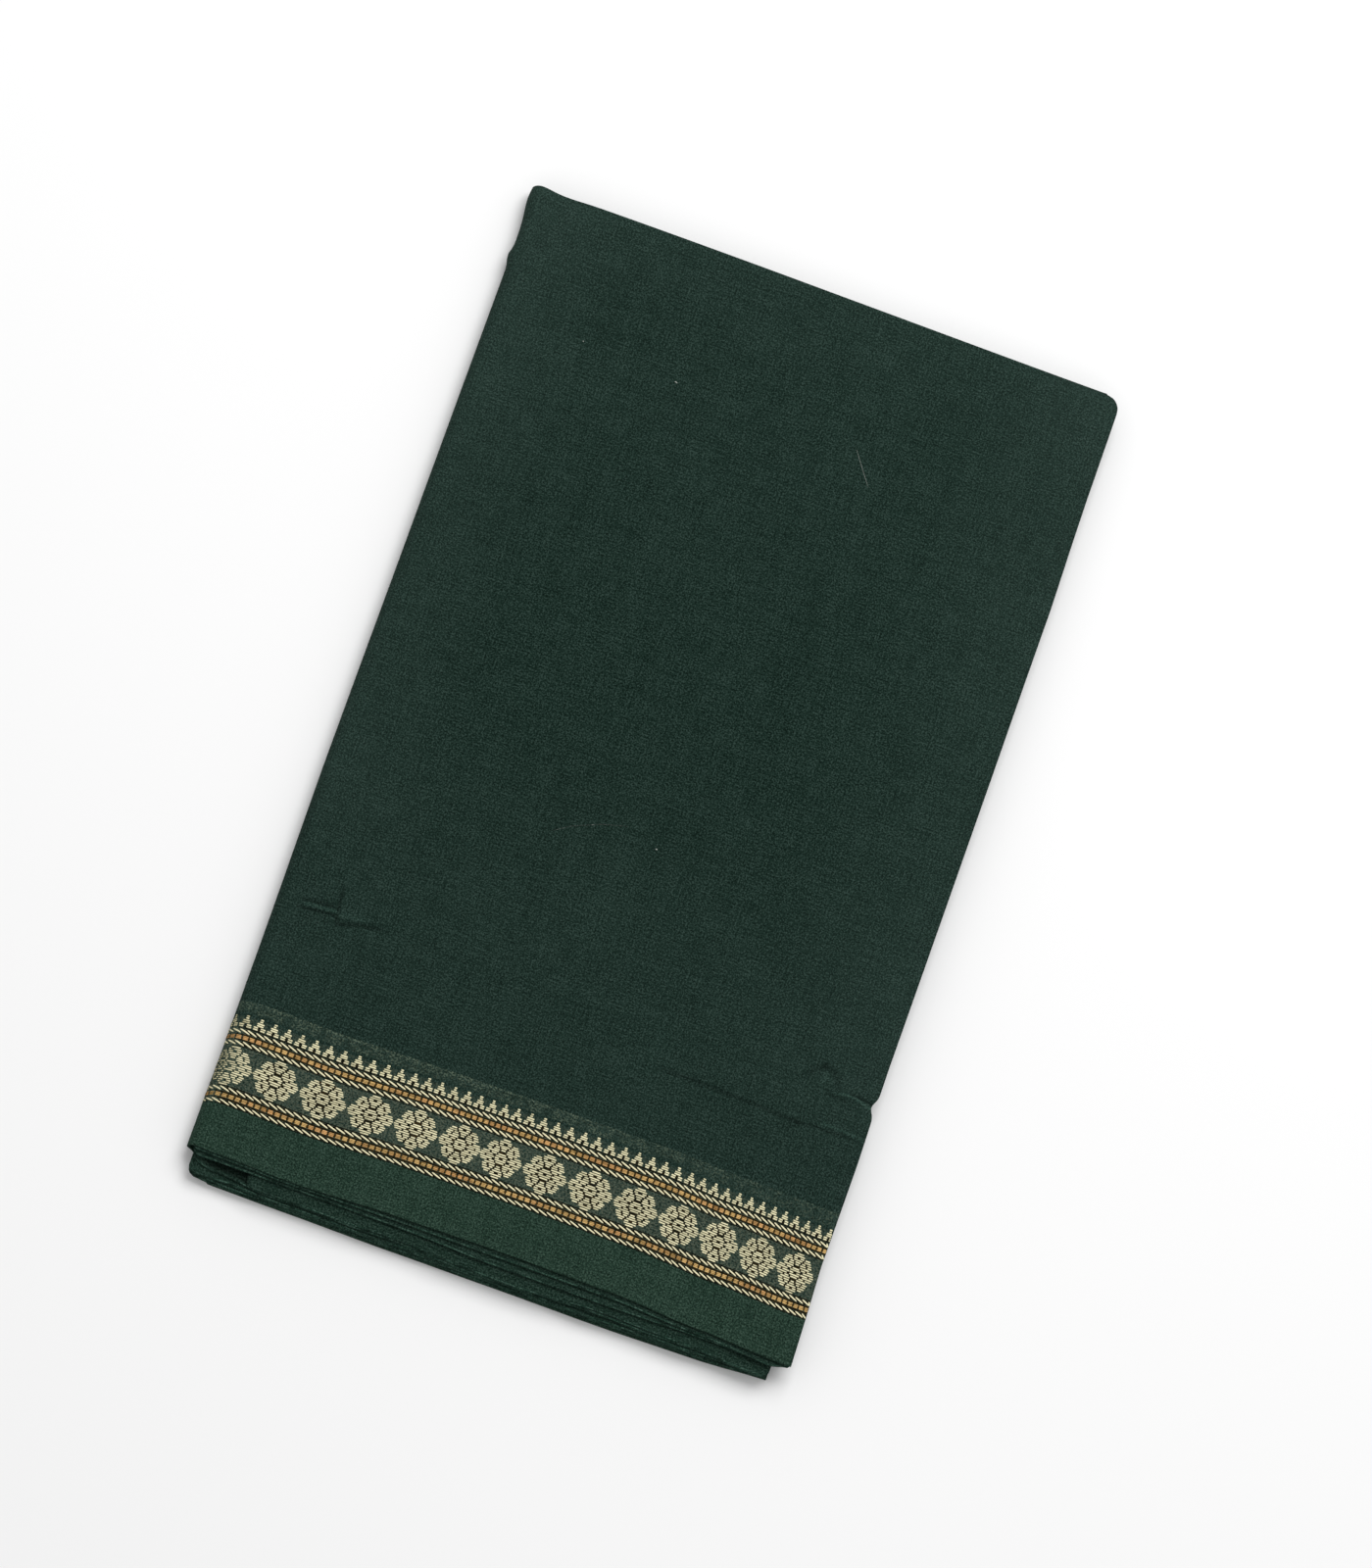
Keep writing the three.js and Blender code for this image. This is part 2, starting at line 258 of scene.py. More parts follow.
def make_cotton(name, bordered, upright, level):
    """The cloth's material, on its UV map: metres along the cloth and metres up from one selvedge.

    bordered cloth carries the woven border: the plain selvedge below it is a little lighter, and
    grey-green ends of the extra threads speckle the ground among its figures and just above them.
    """
    material = bpy.data.materials.new(name)
    material.use_nodes = True
    wire = Wiring(material.node_tree)
    shader = material.node_tree.nodes["Principled BSDF"]
    place = wire.node("ShaderNodeUVMap", uv_map="cloth").outputs[0]
    weave = wire.node("ShaderNodeGroup", node_tree=plain_weave)
    wire.put(weave.inputs["Place"], place)
    weave.inputs["Upright"].default_value = upright
    weave.inputs["Level"].default_value = level
    split = wire.node("ShaderNodeSeparateXYZ")
    wire.put(split.inputs[0], place)
    other = wire.math("SUBTRACT", 2 * PANEL_LENGTH * MM, split.outputs[1])
    up = wire.math("MULTIPLY", wire.math("MINIMUM", split.outputs[1], other), 1 / MM)
    shade = weave.outputs["Shade"]
    dark = wire.mix(wire.math("SUBTRACT", shade, 0.0, clamp=True), GREEN_DEEP, GREEN)
    colour = wire.mix(wire.math("SUBTRACT", shade, 1.0, clamp=True), dark, GREEN_LIT)
    if not bordered:
        # painted light: the plain cloth of the panels between is painted lighter, lifting the shade it lies
        # in
        painted_light = wire.node("ShaderNodeVectorMath", operation="MULTIPLY")
        wire.put(painted_light.inputs[0], colour)
        painted_light.inputs[1].default_value = (1.22, 1.2, 1.14)
        colour = painted_light.outputs[0]
    if bordered:
        # painted light: a faint grey sheen painted along the folded sides, towards the crosswise fold and
        # towards the hem, weaker on the left over the creased band
        left_sheen = wire.math("MULTIPLY", wire.step(split.outputs[0], 0.075, -0.02), 1.15)
        creased = wire.math("MULTIPLY", wire.step(up, 205.0, 165.0), wire.step(up, 112.0, 145.0))
        sheen_kept = wire.math("SUBTRACT", 1.0, wire.math("MULTIPLY", creased, 0.8))
        left_sheen = wire.math("MULTIPLY", left_sheen, sheen_kept)
        right_sheen = wire.step(split.outputs[0], 0.235, 0.35)
        upper_sheen = wire.math("MULTIPLY", wire.step(up, 320.0, 480.0), 0.4)
        far_sheen = wire.math("MULTIPLY_ADD", wire.step(up, 490.0, 580.0), 0.7, upper_sheen)
        side_sheen = wire.math("ADD", left_sheen, right_sheen)
        side_sheen = wire.math("MULTIPLY", side_sheen, wire.step(up, 18.0, 260.0))
        near_sheen = wire.math("MULTIPLY_ADD", wire.step(up, 300.0, 160.0), 0.5, far_sheen)
        painted_sheen = wire.math("ADD", side_sheen, near_sheen)
        sheen_added = wire.node("ShaderNodeVectorMath", operation="MULTIPLY_ADD")
        wire.put(sheen_added.inputs[0], wire.combine(painted_sheen, painted_sheen, painted_sheen))
        sheen_added.inputs[1].default_value = (0.0040, 0.0058, 0.0052)
        wire.put(sheen_added.inputs[2], colour)
        colour = sheen_added.outputs[0]
        low = wire.math("SUBTRACT", 1.0, wire.step(up, SELVEDGE_TOP - 0.6, SELVEDGE_TOP + 0.6))
        lighter = wire.node("ShaderNodeVectorMath", operation="MULTIPLY")
        wire.put(lighter.inputs[0], colour)
        lighter.inputs[1].default_value = (1.42, 1.44, 1.28)
        colour = wire.mix(low, colour, lighter.outputs[0])
        speck_along = wire.math("MULTIPLY", split.outputs[0], 820.0)
        speck_up = wire.math("MULTIPLY", split.outputs[1], 1150.0)
        speck = wire.noise(wire.combine(speck_along, speck_up, 5.0), 1.0, 2.0)
        tufts = wire.noise(wire.combine(split.outputs[0], split.outputs[1], 2.0), 150.0)
        figure_foot = wire.step(up, SELVEDGE_TOP, SELVEDGE_TOP + 1)
        figure_head = wire.step(up, BORDER_TOP - 0.4, BORDER_TOP - 1.4)
        figured = wire.math("MULTIPLY", figure_foot, figure_head)
        tufted = wire.math("MULTIPLY_ADD", tufts, 0.7, 0.25)
        ground = wire.math("MULTIPLY", wire.step(speck, 0.38, 0.66), tufted)
        below_teeth = wire.math("MULTIPLY_ADD", wire.step(up, 70.0, 69.0), 0.5, 0.5)
        ground = wire.math("MULTIPLY", ground, below_teeth)
        colour = wire.mix(wire.math("MULTIPLY", ground, figured), colour, (0.120, 0.140, 0.098, 1))
        # just above the teeth, the extra threads' ends show through as a faint band with a paler rim
        ghost_head = wire.step(up, GHOST_TOP, GHOST_TOP - 0.4)
        ghost = wire.math("MULTIPLY", wire.step(up, BORDER_TOP + 0.3, BORDER_TOP + 1.5), ghost_head)
        rim = wire.math("MULTIPLY", wire.step(up, GHOST_TOP - 1.6, GHOST_TOP - 1.0), ghost_head)
        faint = wire.math("MULTIPLY_ADD", rim, 0.26, 0.5)
        fading = wire.math("MULTIPLY_ADD", wire.step(split.outputs[0], 0.30, 0.19), 0.4, 0.6)
        faint = wire.math("MULTIPLY", faint, fading)
        patchy = wire.math("MULTIPLY", wire.step(tufts, 0.36, 0.58), wire.step(speck, 0.50, 0.58))
        patchy = wire.math("MULTIPLY_ADD", patchy, 0.94, 0.06)
        shows = wire.math("MULTIPLY", wire.math("MULTIPLY", ghost, faint), patchy)
        colour = wire.mix(shows, colour, (0.125, 0.165, 0.115, 1))
    # painted light and shade: creases are painted lighter on their ridges and darker in their troughs, the
    # hollow near the left corner is painted darker, and the raw edges carry a broken painted highlight
    painted_shading = wire.node("ShaderNodeAttribute", attribute_name="painted_shading").outputs["Fac"]
    stretch = wire.node("ShaderNodeVectorMath", operation="MULTIPLY")
    wire.put(stretch.inputs[0], wire.node("ShaderNodeTexCoord").outputs["Object"])
    stretch.inputs[1].default_value = (150, 150, 1500)
    # painted highlight: a broken pale line along the raw edges
    edge_breaks = wire.noise(stretch.outputs[0], 1.0, 2.0)
    edge = wire.math("MULTIPLY", wire.step(up, 1.0, 0.5), wire.step(edge_breaks, 0.36, 0.6))
    edge = wire.math("MULTIPLY", edge, 0.35 if bordered else 1.4)
    gain = wire.math("MULTIPLY", wire.math("ADD", painted_shading, 1.0), wire.math("ADD", edge, 1.0))
    shaded_colour = wire.node("ShaderNodeVectorMath", operation="SCALE")
    wire.put(shaded_colour.inputs[0], colour)
    wire.put(shaded_colour.inputs["Scale"], gain)
    wire.put(shader.inputs["Base Color"], shaded_colour.outputs[0])
    shader.inputs["Roughness"].default_value = 0.88
    shader.inputs["Specular IOR Level"].default_value = 0.04
    bump = wire.node("ShaderNodeBump")
    bump.inputs["Strength"].default_value = 0.55
    bump.inputs["Distance"].default_value = 0.18 * MM
    wire.put(bump.inputs["Height"], weave.outputs["Height"])
    wire.put(shader.inputs["Normal"], bump.outputs["Normal"])
    return material


bordered_cotton = make_cotton("bordered_cotton", True, 1.15, 1.15)
# plain_cotton is painted lighter than the bordered cloth, as painted light for the panels that lie in shade
plain_cotton = make_cotton("plain_cotton", False, 0.3, 1.5)

# The wrap: the outermost two panels of the folded cloth. It lies on top of the pack, rolls down
# round its left side and runs back under it, two plies deep, joined by the crosswise fold at the
# far end. It has the plan, roll and thickness of the solids it replaces.
PACK_THICK = cad_high.z / MM
HEAD = cad_high.y / MM
HEM = HEAD - PANEL_LENGTH
LEFT, RIGHT = -172.4, 169.4
INNER_RIGHT = 161.4
ROLL_WIDE, ROLL_HIGH = 6.0, PACK_THICK / 2
FLAT_START = LEFT + ROLL_WIDE
HEM_AT = np.array([-170, -154, -112, -52, 8, 68, 118, 166.0])
TOP_HEM = np.array([0.3, 1.0, 2.1, 0.3, -0.2, 0.5, 3.5, 5.9])
BACK_HEM = np.array([1.0, 15.6, 16.1, 16.8, 17.0, 17.5, 16.9, 14.6])
HEM_PULL = 130.0
OUTER_DEPTH, INNER_DEPTH = 0.5, 1.15
PLY = 0.4


def smooth(t):
    """3t^2 - 2t^3 between 0 and 1, flat outside."""
    t = np.clip(t, 0, 1)
    return t * t * (3 - 2 * t)


def across(values, x):
    """A row of values at the places HEM_AT, joined by smooth steps."""
    k = np.clip(np.searchsorted(HEM_AT, x) - 1, 0, len(HEM_AT) - 2)
    t = smooth((x - HEM_AT[k]) / (HEM_AT[k + 1] - HEM_AT[k]))
    return values[k] + (values[k + 1] - values[k]) * t


def corner_in(distance, radius):
    """How far a rounded corner draws a side in: the radius less the height of its circle."""
    d = np.clip(radius - distance, 0, radius)
    return radius - np.sqrt(radius * radius - d * d)


def bell(x, width):
    """A smooth bump of height 1: e to the minus (x / width) squared."""
    return np.exp(-((x / width) ** 2))


# Creases pressed in while the pack was stored. Each row is a crease: its depth (below 0 for a
# ridge), its half width, how much painted shade darkens its trough or painted light brightens its
# ridge, and the points it runs through, as millimetres across the pack and up from the hem.
CREASES = [
    (0.55, 1.0, 0.5, [(-139.6, 142.6), (-148, 141.6), (-157, 140.6), (-163.5, 140.2)]),
    (-0.5, 0.9, 0.6, [(-138.8, 144.3), (-146, 143.6), (-153, 143.4), (-160, 142.8)]),
    (0.35, 1.2, 0.38, [(-142, 146.8), (-149, 146.2), (-158, 144.8), (-162, 144.4)]),
    (0.8, 0.9, 0.5, [(-137.6, 140.5), (-138.2, 145.0), (-139.0, 151.0), (-139.6, 162.0)]),
    (0.5, 1.3, 0.42, [(-136.9, 138.4), (-132.5, 139.4), (-124, 142.0), (-107, 143.8)]),
    (-0.35, 1.4, 0.25, [(-136.0, 143.8), (-130, 144.2), (-118, 145.4)]),
    (0.4, 1.3, 0.25, [(152, 139.4), (146, 139.9), (138, 140.6)]),
    (0.4, 0.9, 0.45, [(168, 142.3), (160, 143.9), (150, 144.6)]),
    (-0.5, 0.8, 0.7, [(167, 139.9), (161.5, 141.4), (157, 142.6), (151, 143.1), (144, 141.4)]),
    (0.35, 2.0, 0.28, [(136, 154.4), (130.5, 150.2), (128, 144)]),
    (0.35, 2.0, 0.28, [(136, 154.4), (141, 153.4), (146, 146.5), (148, 142)]),
    (-0.3, 2.6, 0.2, [(137, 143.0), (138.5, 148.5), (138.5, 151)]),
    (0.45, 1.3, 0.34, [(132, 120.4), (108, 121.6), (74, 122.8), (36, 123.2)]),
    (0.35, 1.1, 0.3, [(131, 120.4), (143, 121.2), (158, 121.8), (172, 121.0)]),
    (-0.4, 0.8, 0.6, [(168, 122.4), (157, 124.1), (147, 124.3), (139, 122.6)]),
    (-0.25, 2.4, 0.12, [(47.5, 118.0), (47.0, 132.0), (47.5, 150.0)]),
]


def creases(x, up, measure="deep"):
    """How far the creases sink the cloth at a place, in millimetres; below 0 on their ridges.

    Each crease is a bell across the nearest point of its run, fading over its last third. With
    any other measure the same bells give the painted shading there instead: painted shade in the troughs,
    painted light on the ridges.
    """
    total = np.zeros(np.broadcast(x, up).shape)
    for deep, half, painted_shading, points in CREASES:
        run = np.array(points)
        pieces = np.linalg.norm(np.diff(run, axis=0), axis=1)
        done = np.concatenate([[0], np.cumsum(pieces)])
        nearest = np.full(total.shape, 1e9)
        share = np.zeros(total.shape)
        for k, length in enumerate(pieces):
            way = (run[k + 1] - run[k]) / length
            t = np.clip((x - run[k, 0]) * way[0] + (up - run[k, 1]) * way[1], 0, length)
            gap = np.hypot(x - run[k, 0] - t * way[0], up - run[k, 1] - t * way[1])
            closer = gap < nearest
            nearest = np.where(closer, gap, nearest)
            share = np.where(closer, (done[k] + t) / done[-1], share)
        size = deep if measure == "deep" else painted_shading * np.sign(deep)
        total = total + size * smooth((1 - share) / 0.35) * bell(nearest, half)
    return total


def relief(x, up):
    """How far the cloth sinks at a place, in millimetres: its creases and three slow waves."""
    waves = 0.05 * np.sin(x / 37 + up / 61) + 0.04 * np.sin(x / 19 - up / 83 + 1.3)
    return waves + 0.03 * np.sin(up / 23 + 0.7) + creases(x, up)


SIDES_AT = np.array([0, 28, 55, 110, 140, 164, 218, 272, 327, 381, 435, 490, 522, 560.0])
RIGHT_OUT = np.array([2.0, 1.0, -0.2, 0.1, -0.5, -0.8, -0.5, -0.3, -0.1, 0.0, 0.2, -0.8, -0.8, -0.8])
LEFT_OUT = np.array([-0.2, -0.2, -0.5, -0.4, -0.3, -0.1, 0.3, 0.1, -0.2, -0.4, -0.6, -0.9, -1.0, -1.1])


def edge_shift(up):
    """How far the right edge stands out at a height: slow swells, the crease's nip, the far corner."""
    swell = np.interp(up, SIDES_AT, RIGHT_OUT)
    return swell - 2.4 * bell(up - 141.4, 4.0) - corner_in(PANEL_LENGTH - up, 8.5)


def left_shift(up):
    """How far the left side stands out at a height: slow swells, and two small bumps near the fold."""
    return np.interp(up, SIDES_AT, LEFT_OUT) + 1.8 * bell(up - 554, 11) + 1.5 * bell(up - 520, 4)


def border_pull(up):
    """How much of the hem's reach the cloth still follows: all of the border, and little above it."""
    return 1 - 0.14 * smooth(up / 60) - 0.7 * smooth((up - 76) / 15) - 0.16 * smooth((up - 84) / 60)


def skew(x, up):
    """How far the border end hangs lower near the roll, where the cloth was drawn out of square."""
    return 2.4 * np.clip(1 - (x - LEFT) / 17, 0, 1) ** 2 * smooth(up / 24) * (1 - smooth((up - 78) / 34))


def far_short(x):
    """How much the far fold drops towards the right."""
    return 3.4 * smooth((x + 130) / 330) - 0.9 * bell(x + 167, 7) + 0.5 * bell(x + 151, 10)


ROLL_TURNS = np.linspace(0, np.pi, 181)
roll_steps = np.hypot(np.diff(ROLL_WIDE * np.sin(ROLL_TURNS)), np.diff(ROLL_HIGH * np.cos(ROLL_TURNS)))
ROLL_RUN = np.concatenate([[0], np.cumsum(roll_steps)])
ROLL_LENGTH = ROLL_RUN[-1]


def on_wrap(along, up, depth):
    """Places on the wrap, in millimetres: along the cloth from where the roll starts, up from the hem.

    along above 0 is the flat top; from 0 to minus the roll's length it turns about half an upright
    ellipse; past that it runs back under the pack. depth is how far below the outer face it lies.
    """
    along, up, depth = np.broadcast_arrays(*(np.asarray(v, float) for v in (along, up, depth)))
    turn = np.interp(-along, ROLL_RUN, ROLL_TURNS)
    beneath = smooth(turn / np.pi)
    flat = np.maximum(along, 0) + np.maximum(-along - ROLL_LENGTH, 0)
    shift = edge_shift(up) * smooth((along - 270) / 66) - left_shift(up) * (1 - smooth(flat / 60))
    x = FLAT_START + flat + shift - (ROLL_WIDE - depth) * np.sin(turn)
    reach = across(TOP_HEM, x) * (1 - beneath) * border_pull(up)
    reach = reach + across(BACK_HEM, x) * beneath * (1 - smooth(up / HEM_PULL))
    far_pull = smooth((up - PANEL_LENGTH + 160) / 160)
    y = HEM + up - reach - far_short(x) * (1 - beneath) * far_pull - skew(x, up)
    sunk = relief(x, up) * np.where(along > 0, 1, np.cos(turn).clip(0)) * smooth((along + 4) / 8)
    z = PACK_THICK / 2 + (ROLL_HIGH - depth) * np.cos(turn) - sunk
    return np.stack([x, y, z], -1)


def cloth_object(name, places, cloth, material, thickness=PLY):
    """A sheet from a grid of places in millimetres, with its UV map in metres of cloth, made a wall."""
    rows, cols = places.shape[:2]
    index = np.arange(rows * cols).reshape(rows, cols)
    quads = np.stack([index[:-1, :-1], index[:-1, 1:], index[1:, 1:], index[1:, :-1]], -1).reshape(-1, 4)
    mesh = bpy.data.meshes.new(name)
    mesh.from_pydata((places.reshape(-1, 3) * MM).tolist(), [], quads.tolist())
    uv = mesh.uv_layers.new(name="cloth")
    uv.data.foreach_set("uv", (cloth.reshape(-1, 2) * MM)[quads.ravel()].ravel())
    mesh.polygons.foreach_set("use_smooth", np.ones(len(quads), bool))
    mesh.materials.append(material)
    made = bpy.data.objects.new(name, mesh)
    bpy.context.collection.objects.link(made)
    wall = made.modifiers.new("ply", "SOLIDIFY")
    wall.thickness = thickness * MM
    wall.offset = 0
    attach(made, "root")
    return made


def spaced(*stretches):
    """Places along a line: each stretch is (from, to, step), and shared ends are kept once."""
    counts = [max(2, round(abs(b - a) / step) + 1) for a, b, step in stretches]
    return np.unique(np.concatenate([np.linspace(a, b, n) for (a, b, _), n in zip(stretches, counts)]))


# Its grid is finest where creases cross it, along the hem, and at the far corners.
wrap_up = spaced(
    (0, 6, 1.0),
    (6, 96, 3.5),
    (96, 117, 2.1),
    (117, 157, 0.6),
    (157, 168, 1.2),
    (168, 500, 11),
    (500, 554, 3),
    (554, PANEL_LENGTH, 0.75),
)
top_along = spaced(
    (0, 22, 1.5), (22, 34, 0.9), (34, 64, 1.8), (64, 200, 5), (200, 284, 3.4), (284, RIGHT - FLAT_START, 1.5)
)
back_from, back_to = ROLL_LENGTH, ROLL_LENGTH + INNER_RIGHT - FLAT_START
back_along = spaced((back_from, back_from + 30, 4), (back_from + 30, back_to, 12))
wrap_along = np.concatenate([top_along[::-1], -np.linspace(0, ROLL_LENGTH, 25)[1:-1], -back_along])
fold_turn = np.linspace(0, np.pi, 7)[1:-1]
fold_radius = (INNER_DEPTH - OUTER_DEPTH) / 2
fold_depth = (OUTER_DEPTH + INNER_DEPTH) / 2 - fold_radius * np.cos(fold_turn)
fold_up = np.full(len(fold_turn), PANEL_LENGTH)
inner_up = spaced(
    (0, 96, 8), (96, 116, 3), (116, 168, 1.7), (168, 500, 33), (500, 554, 6), (554, PANEL_LENGTH, 1.5)
)[::-1]
outer_depths, inner_depths = np.full(len(wrap_up), OUTER_DEPTH), np.full(len(inner_up), INNER_DEPTH)
path_up = np.concatenate([wrap_up, fold_up, inner_up])
path_depth = np.concatenate([outer_depths, fold_depth, inner_depths])
path_cloth = np.concatenate([wrap_up, fold_up, 2 * PANEL_LENGTH - inner_up])
wrap_places = on_wrap(wrap_along[None, :], path_up[:, None], path_depth[:, None])
fold_rows = slice(len(wrap_up), len(wrap_up) + len(fold_turn))
wrap_places[fold_rows, :, 1] += (fold_radius * np.sin(fold_turn))[:, None]
wrap_cloth = np.stack(np.broadcast_arrays(wrap_along[None, :], path_cloth[:, None]), -1)
wrap = cloth_object("wrap", wrap_places, wrap_cloth, bordered_cotton)
# painted shading on the wrap's outer face: darker in the creases' troughs, lighter on their ridges
outer_face = (wrap_along > -4) * (path_depth == OUTER_DEPTH)[:, None]
crease_shading = -creases(wrap_places[..., 0], path_up[:, None], "painted_shading") * outer_face
wrap.data.attributes.new("painted_shading", "FLOAT", "POINT").data.foreach_set("value", crease_shading.clip(-0.7, 0.9).ravel())
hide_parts("top_panel", "back_panel")

# The woven border. Thicker extra threads of cream, ochre and near-black cotton float on the face
# between the places where the ground holds them down: a row of rosettes between two braids, each of
# two twisted cords beside a string of beads, with a row of stepped teeth above. It runs on round
# the roll and along the back. Everything in it is spaced by the rosettes.
FACE_DEPTH = OUTER_DEPTH - PLY / 2
FLOWER_AT_0 = 1.2  # the first whole rosette's middle, past where the roll starts
FLOWER_PITCHES = [26.2, 27.1, 26.9, 25.4, 24.8, 23.3, 24.9, 25.7, 25.9, 24.8, 23.0, 22.5, 21.4]
BACK_PITCH, LAST_PITCH = 25.5, 21.5
FLOWERS_BEFORE = 14
flower_number = np.arange(-FLOWERS_BEFORE, len(FLOWER_PITCHES) + 2)
flowers_on_back = FLOWER_AT_0 - BACK_PITCH * np.arange(FLOWERS_BEFORE, 0, -1)
flowers_on_top = FLOWER_AT_0 + np.cumsum([0] + FLOWER_PITCHES + [LAST_PITCH])
flower_at = np.concatenate([flowers_on_back, flowers_on_top])
CLOTH_LEFT = -ROLL_LENGTH - (INNER_RIGHT - FLAT_START) + 0.6
CLOTH_RIGHT = RIGHT - FLAT_START - 0.3
rng = np.random.default_rng(11)


def place_of(number):
    """Millimetres along the cloth at a count of rosettes."""
    return np.interp(number, flower_number, flower_at)


def thread_material(name, dark, light, other_light, shine):
    """Soft cotton yarn: painted shade darkens the sides of each float, its tone varied by float and by
    fibre.

    other_light is a second dye that the yarn wanders to along the border.
    """
    material = bpy.data.materials.new(name)
    material.use_nodes = True
    wire = Wiring(material.node_tree)
    shader = material.node_tree.nodes["Principled BSDF"]
    tone = wire.node("ShaderNodeAttribute", attribute_name="tone").outputs["Fac"]
    edge = wire.node("ShaderNodeAttribute", attribute_name="edge").outputs["Fac"]
    where = wire.node("ShaderNodeTexCoord").outputs["Object"]
    stretch = wire.node("ShaderNodeVectorMath", operation="MULTIPLY")
    wire.put(stretch.inputs[0], where)
    stretch.inputs[1].default_value = (600, 1700, 1700)
    fibre = wire.noise(stretch.outputs[0], 1.0, 3.0)
    level = wire.math("MULTIPLY_ADD", wire.math("SUBTRACT", fibre, 0.5), 1.3, tone)
    # painted shade on the sides of each float, from its edge attribute
    level = wire.math("SUBTRACT", level, wire.math("MULTIPLY", edge, 0.55), clamp=True)
    if other_light:
        batch = wire.noise(where, 90.0, 1.0)
        light = wire.mix(wire.step(batch, 0.42, 0.62), light, other_light)
    wire.put(shader.inputs["Base Color"], wire.mix(level, dark, light))
    shader.inputs["Roughness"].default_value = 0.8
    shader.inputs["Specular IOR Level"].default_value = shine
    bump = wire.node("ShaderNodeBump")
    bump.inputs["Strength"].default_value = 0.3
    bump.inputs["Distance"].default_value = 0.1 * MM
    wire.put(bump.inputs["Height"], fibre)
    wire.put(shader.inputs["Normal"], bump.outputs["Normal"])
    return material


SECTION_ACROSS = np.array([-1, -0.72, 0, 0.72, 1])
SECTION_RISE = np.array([0, 0.72, 1, 0.72, 0])
SECTION_EDGE = np.array([1, 0.45, 0, 0.45, 1])


def floats(name, along, up, half, rise, tone, material, slot):
    """Closed bars of thread on the wrap's face, one for each row of along and up, in millimetres.

    The columns are stations on a float, half is its half width at each and rise its height over
    the cloth. Its section is an arch of five points whose feet sink into the cloth. The yarn on
    the roll is painted darker, as painted shade.
    """
    along, up, half, rise = np.broadcast_arrays(*(np.atleast_2d(v) for v in (along, up, half, rise)))
    count, stations = along.shape
    section = len(SECTION_ACROSS)
    da, du = np.gradient(along, axis=1), np.gradient(up, axis=1)
    size = np.hypot(da, du)
    a = along[..., None] - (half * du / size)[..., None] * SECTION_ACROSS
    u = up[..., None] + (half * da / size)[..., None] * SECTION_ACROSS
    depth = FACE_DEPTH + 0.1 - (rise[..., None] + 0.1) * SECTION_RISE
    places = on_wrap(a, u, depth).reshape(-1, 3) * MM
    index = np.arange(count * stations * section).reshape(count, stations, section)
    rolled = np.roll(index, -1, axis=2)
    sides = np.stack([index[:, :-1], index[:, 1:], rolled[:, 1:], rolled[:, :-1]], -1).reshape(-1, 4)
    caps = np.concatenate([index[:, 0], index[:, -1, ::-1]])
    mesh = bpy.data.meshes.new(name)
    mesh.from_pydata(places.tolist(), [], sides.tolist() + caps.tolist())
    mesh.polygons.foreach_set("use_smooth", np.ones(len(mesh.polygons), bool))
    # painted shade: floats on the roll are painted darker
    roll_shade = 1 - 0.55 * np.clip(1 - (places[:, 0] / MM - LEFT) / 15, 0, 1)
    each = np.repeat(np.asarray(tone, float), stations * section) * roll_shade
    mesh.attributes.new("tone", "FLOAT", "POINT").data.foreach_set("value", each)
    edges = np.tile(SECTION_EDGE, count * stations)
    mesh.attributes.new("edge", "FLOAT", "POINT").data.foreach_set("value", edges)
    mesh.materials.append(material)
    made = bpy.data.objects.new(name, mesh)
    bpy.context.collection.objects.link(made)
    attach(made, "root")
    return made


def straight(start, end, up, half, rise):
    """Stations for straight floats from start to end: blunt ends that narrow and dip a little."""
    way = np.array([0, 0.1, 0.9, 1])
    along = start[:, None] + (end - start)[:, None] * way
    narrowed, dipped = np.array([0.72, 1, 1, 0.72]), np.array([0.35, 1, 1, 0.35])
    return along, up[:, None] + 0 * along, half * narrowed, rise * dipped


def trimmed(start, end):
    """The floats' ends cut off where the cloth ends, and which of them are left."""
    start, end = np.maximum(start, CLOTH_LEFT), np.minimum(end, CLOTH_RIGHT)
    return start, end, end - start > 0.5


ORANGE = (0.71, 0.40, 0.16, 1)
cream = thread_material("cream_thread", (0.15, 0.135, 0.060, 1), (0.84, 0.785, 0.51, 1), None, 0.05)
ochre = thread_material("ochre_thread", (0.10, 0.055, 0.010, 1), (0.74, 0.49, 0.19, 1), ORANGE, 0.05)
dark = thread_material("dark_thread", (0.004, 0.003, 0.001, 1), (0.095, 0.052, 0.010, 1), None, 0.02)

# Rosettes: eight petals, each with a dark eye, about a middle: 19 rows high, each row one pass of
# thread. The chart is the upper left quarter with the middle row, 22 half stitches wide.
ROSETTE = [
    "..................####",
    "................######",
    ".........#####..####..",
    ".......########..#####",
    "......#####..####..###",
    ".....#####..######..##",
    ".......###########....",
    "..#######..#####..####",
    ".############...######",
    "#####..########.####..",
]
ROSETTE_FOOT = 36.6
ROSETTE_ROW = 1.163
ROSETTE_GAP = 0.6
HALF_WIDTH = len(ROSETTE[0])
rosette_rows = ROSETTE + ROSETTE[-2::-1]
runs = []
for row, marks in enumerate(rosette_rows):
    padded = np.array([0] + [m == "#" for m in marks + marks[::-1]] + [0], int)
    turns = np.flatnonzero(np.diff(padded))
    runs += [(row, start, end, 1) for start, end in turns.reshape(-1, 2)] + [(row, turns[0], turns[-1], 0)]
runs = np.array(runs)
middle = np.arange(-FLOWERS_BEFORE, len(FLOWER_PITCHES) + 1)
cell = (place_of(middle + 0.5) - place_of(middle - 0.5) - ROSETTE_GAP) / (2 * HALF_WIDTH)
